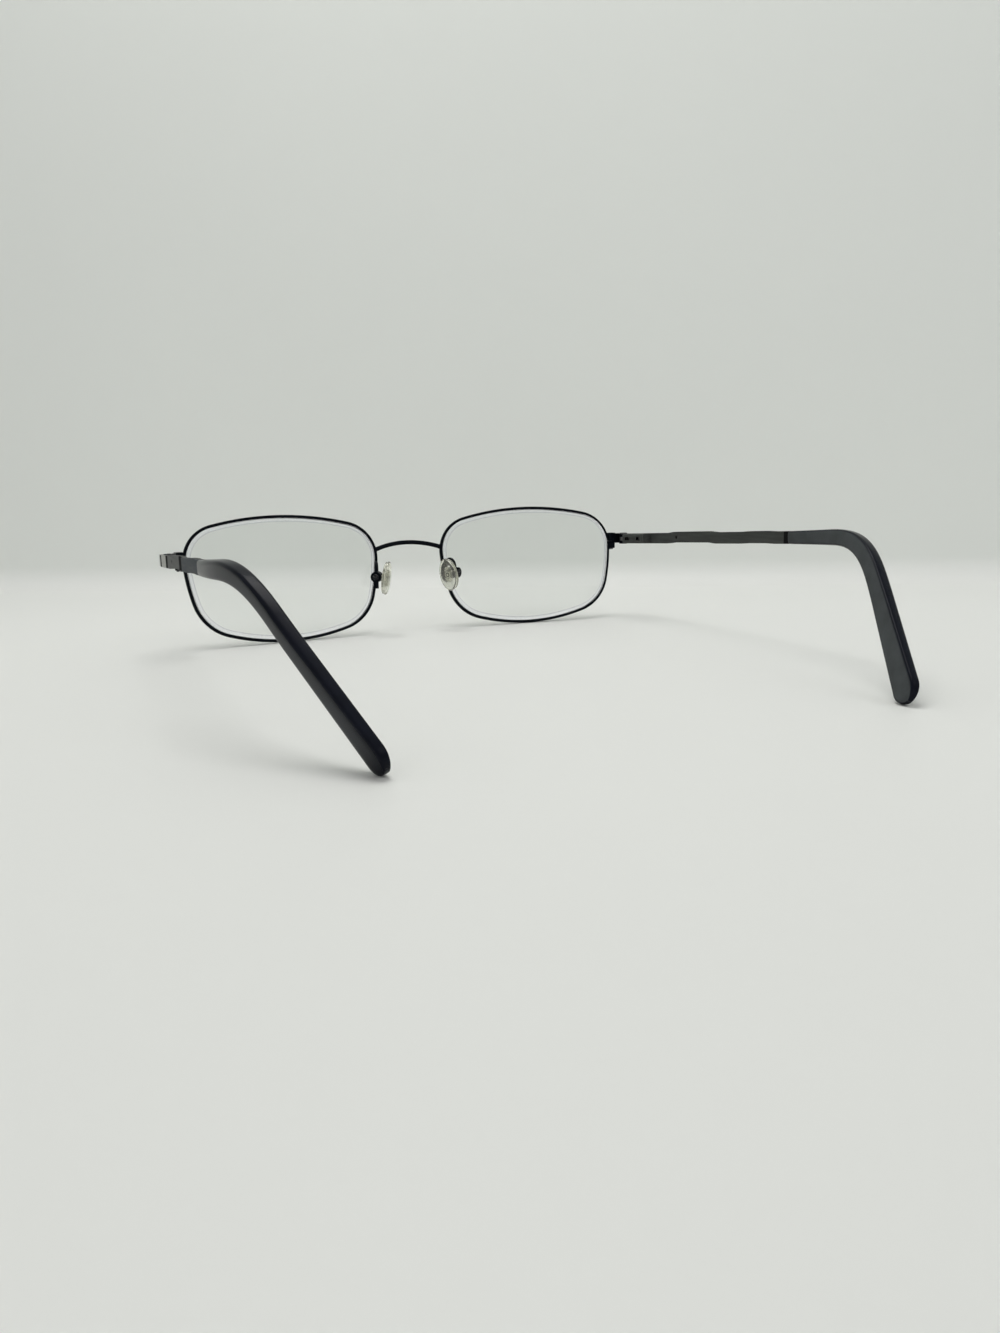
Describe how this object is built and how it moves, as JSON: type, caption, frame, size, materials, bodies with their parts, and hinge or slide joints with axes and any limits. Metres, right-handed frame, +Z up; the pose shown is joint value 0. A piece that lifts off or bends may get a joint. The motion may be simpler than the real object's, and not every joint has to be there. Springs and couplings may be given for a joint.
{
  "type": "eyeglass frame",
  "caption": "Metal full-rim eyeglass frame with clear rounded rectangular lenses, thin arched bridge, adjustable nose pads, spring hinges and long bent plastic temple tips",
  "frame": {"origin": "middle of the underside box: halfway between the sides and halfway between the front of the lenses and the ends of the temple tips, on the surface that the rims and tips stand on", "axes": "+X is the wearer's right, +Y points to the front of the frame, the way the wearer looks, +Z is up"},
  "size_m": [0.1328, 0.1409, 0.0332],
  "materials": {
    "front_metal": "near-black navy lacquer",
    "bar_metal": "gunmetal lacquer, satin",
    "tip_plastic": "dark grey inside, glossy dark navy edges",
    "lens_clear": "clear, anti-reflection coated",
    "pad_clear": "clear soft pad",
    "pin_steel": "dark plated steel"
  },
  "bodies": {
    "front": {"bridge": "front_metal", "right_rim": "front_metal", "right_lens": "lens_clear", "right_closing_block_upper": "front_metal", "right_closing_block_lower": "front_metal", "right_closing_screw": "pin_steel", "right_end_piece": "front_metal", "right_hinge_screw": "pin_steel", "right_pad_arm": "front_metal", "right_pad_screw": "pin_steel", "left_rim": "front_metal", "left_lens": "lens_clear", "left_closing_block_upper": "front_metal", "left_closing_block_lower": "front_metal", "left_closing_screw": "pin_steel", "left_end_piece": "front_metal", "left_hinge_screw": "pin_steel", "left_pad_arm": "front_metal", "left_pad_screw": "pin_steel"},
    "right_tongue": {"right_hinge_tongue": "pin_steel", "right_tongue_nut": "pin_steel"},
    "right_temple": {"right_hinge_housing": "bar_metal", "right_housing_plug": "bar_metal", "right_hinge_spring": "pin_steel", "right_temple_bar": "bar_metal", "right_temple_tip": "tip_plastic"},
    "right_pad": {"right_pad_insert": "pin_steel", "right_nose_pad": "pad_clear"},
    "left_tongue": {"left_hinge_tongue": "pin_steel", "left_tongue_nut": "pin_steel"},
    "left_temple": {"left_hinge_housing": "bar_metal", "left_housing_plug": "bar_metal", "left_hinge_spring": "pin_steel", "left_temple_bar": "bar_metal", "left_temple_tip": "tip_plastic"},
    "left_pad": {"left_pad_insert": "pin_steel", "left_nose_pad": "pad_clear"}
  },
  "joints": [
    {"name": "right_temple_fold", "type": "hinge", "parent": "front", "child": "right_tongue", "pos_m": [0.0637, 0.05982, 0.02321], "axis": [0, 0.0314, -0.9995], "range_deg": [-10, 83]},
    {"name": "right_spring_slide", "type": "slide", "parent": "right_tongue", "child": "right_temple", "axis": [-0.0192, -0.9988, 0.0454], "range_m": [0, 0.0012], "stiffness_N_per_m": 1500, "springref_m": -0.002, "deforming": ["right_hinge_spring"]},
    {"name": "right_pad_rock", "type": "hinge", "parent": "front", "child": "right_pad", "pos_m": [0.0112, 0.06165, 0.01604], "axis": [-0.5, 0.866, 0], "range_deg": [-10, 10]},
    {"name": "left_temple_fold", "type": "hinge", "parent": "front", "child": "left_tongue", "pos_m": [-0.0637, 0.05982, 0.02321], "axis": [0, 0.0314, 0.9995], "range_deg": [-10, 83]},
    {"name": "left_spring_slide", "type": "slide", "parent": "left_tongue", "child": "left_temple", "axis": [0.0192, -0.9988, 0.0454], "range_m": [0, 0.0012], "stiffness_N_per_m": 1500, "springref_m": -0.002, "deforming": ["left_hinge_spring"]},
    {"name": "left_pad_rock", "type": "hinge", "parent": "front", "child": "left_pad", "pos_m": [-0.0112, 0.06165, 0.01604], "axis": [0.5, 0.866, 0], "range_deg": [-10, 10]}
  ]
}
